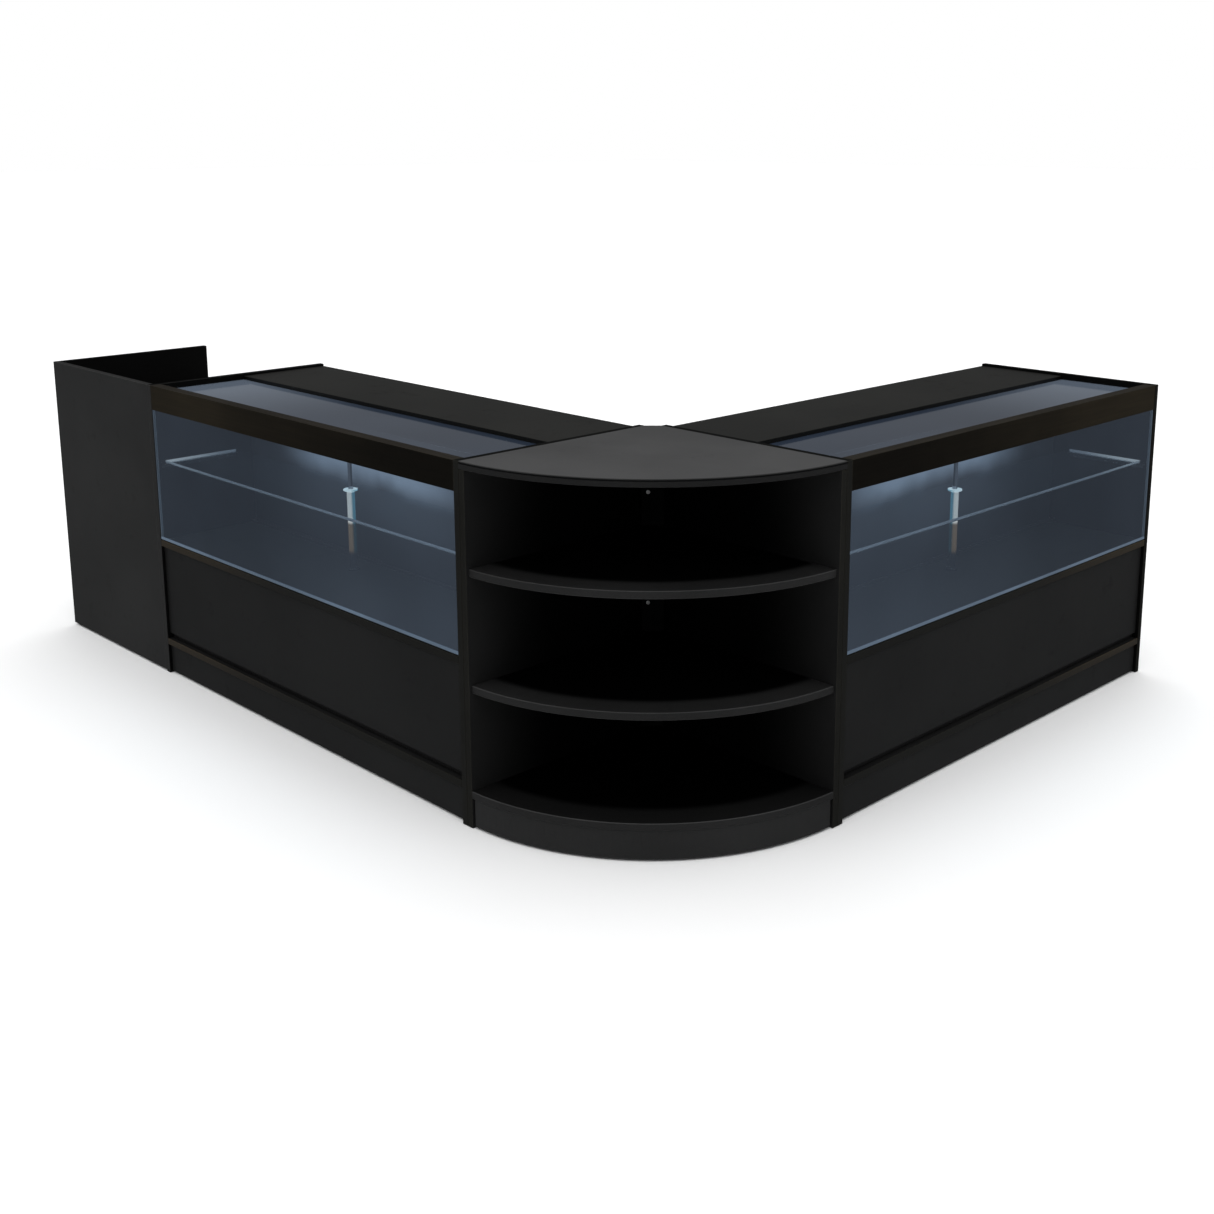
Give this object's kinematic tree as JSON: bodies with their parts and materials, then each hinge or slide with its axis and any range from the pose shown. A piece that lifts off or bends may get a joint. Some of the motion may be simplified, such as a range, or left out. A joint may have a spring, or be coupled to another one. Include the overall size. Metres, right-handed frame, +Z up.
{
  "type": "checkout counter",
  "caption": "L-shaped shop checkout counter: half-glass showcase wings with sliding rear doors, a quarter-round corner shelf unit and a sunken till unit.",
  "frame": {"origin": "centre of the footprint's bounding box, on the floor", "axes": "+X along the left wing from the till towards the corner, +Y along the right wing away from the corner, +Z up"},
  "size_m": [2.78, 2.13, 0.9],
  "materials": {
    "front_laminate": "black laminate, satin",
    "body_laminate": "black laminate, satin",
    "fascia_laminate": "brown-black laminate, satin",
    "top_laminate": "black laminate, satin, lightly worn",
    "corner_top_laminate": "dark grey laminate, satin",
    "glass": "clear toughened glass, polished edges",
    "door": "black laminate, smooth, semi-gloss",
    "track": "black extruded plastic",
    "light_diffuser": "white diffuser over cool white light",
    "post_metal": "polished",
    "shelf_rest_metal": "satin"
  },
  "bodies": {
    "counter": {"left_inner_end_panel": "body_laminate", "left_outer_end_panel": "body_laminate", "left_base_deck": "body_laminate", "left_display_deck": "body_laminate", "left_front_plinth": "body_laminate", "left_rear_plinth": "body_laminate", "left_lower_front_panel": "body_laminate", "left_storage_divider": "body_laminate", "left_fascia": "fascia_laminate", "left_front_rail": "fascia_laminate", "left_rear_rail": "body_laminate", "left_top_glass": "glass", "left_rear_top": "top_laminate", "left_front_glass": "glass", "left_light_strip": "light_diffuser", "left_glass_shelf": "glass", "left_shelf_rest_inner": "shelf_rest_metal", "left_shelf_rest_outer": "shelf_rest_metal", "left_shelf_post": "post_metal", "left_door_track_top": "track", "left_door_track_bottom": "track", "right_inner_end_panel": "body_laminate", "right_outer_end_panel": "body_laminate", "right_base_deck": "body_laminate", "right_display_deck": "body_laminate", "right_front_plinth": "body_laminate", "right_rear_plinth": "body_laminate", "right_lower_front_panel": "body_laminate", "right_storage_divider": "body_laminate", "right_fascia": "fascia_laminate", "right_front_rail": "fascia_laminate", "right_rear_rail": "body_laminate", "right_top_glass": "glass", "right_rear_top": "top_laminate", "right_front_glass": "glass", "right_light_strip": "light_diffuser", "right_glass_shelf": "glass", "right_shelf_rest_inner": "shelf_rest_metal", "right_shelf_rest_outer": "shelf_rest_metal", "right_shelf_post": "post_metal", "right_door_track_top": "track", "right_door_track_bottom": "track", "corner_top": "corner_top_laminate", "corner_upper_shelf": "front_laminate", "corner_lower_shelf": "front_laminate", "corner_bottom_shelf": "front_laminate", "corner_plinth": "front_laminate", "corner_left_side_panel": "body_laminate", "corner_right_side_panel": "body_laminate", "corner_back_post": "body_laminate", "till_front_panel": "front_laminate", "till_end_panel": "body_laminate", "till_register_deck": "body_laminate", "till_shelf": "body_laminate", "till_base_deck": "body_laminate", "till_rear_plinth": "body_laminate"},
    "left_front_door": {"left_front_sliding_door": "door"},
    "left_rear_door": {"left_rear_sliding_door": "door"},
    "right_front_door": {"right_front_sliding_door": "door"},
    "right_rear_door": {"right_rear_sliding_door": "door"}
  },
  "joints": [
    {"name": "left_front_door_slide", "type": "slide", "parent": "counter", "child": "left_front_door", "axis": [-1, 0, 0], "range_m": [0, 0.705]},
    {"name": "left_rear_door_slide", "type": "slide", "parent": "counter", "child": "left_rear_door", "axis": [1, 0, 0], "range_m": [0, 0.705]},
    {"name": "right_front_door_slide", "type": "slide", "parent": "counter", "child": "right_front_door", "axis": [0, 1, 0], "range_m": [0, 0.705]},
    {"name": "right_rear_door_slide", "type": "slide", "parent": "counter", "child": "right_rear_door", "axis": [0, -1, 0], "range_m": [0, 0.705]}
  ]
}
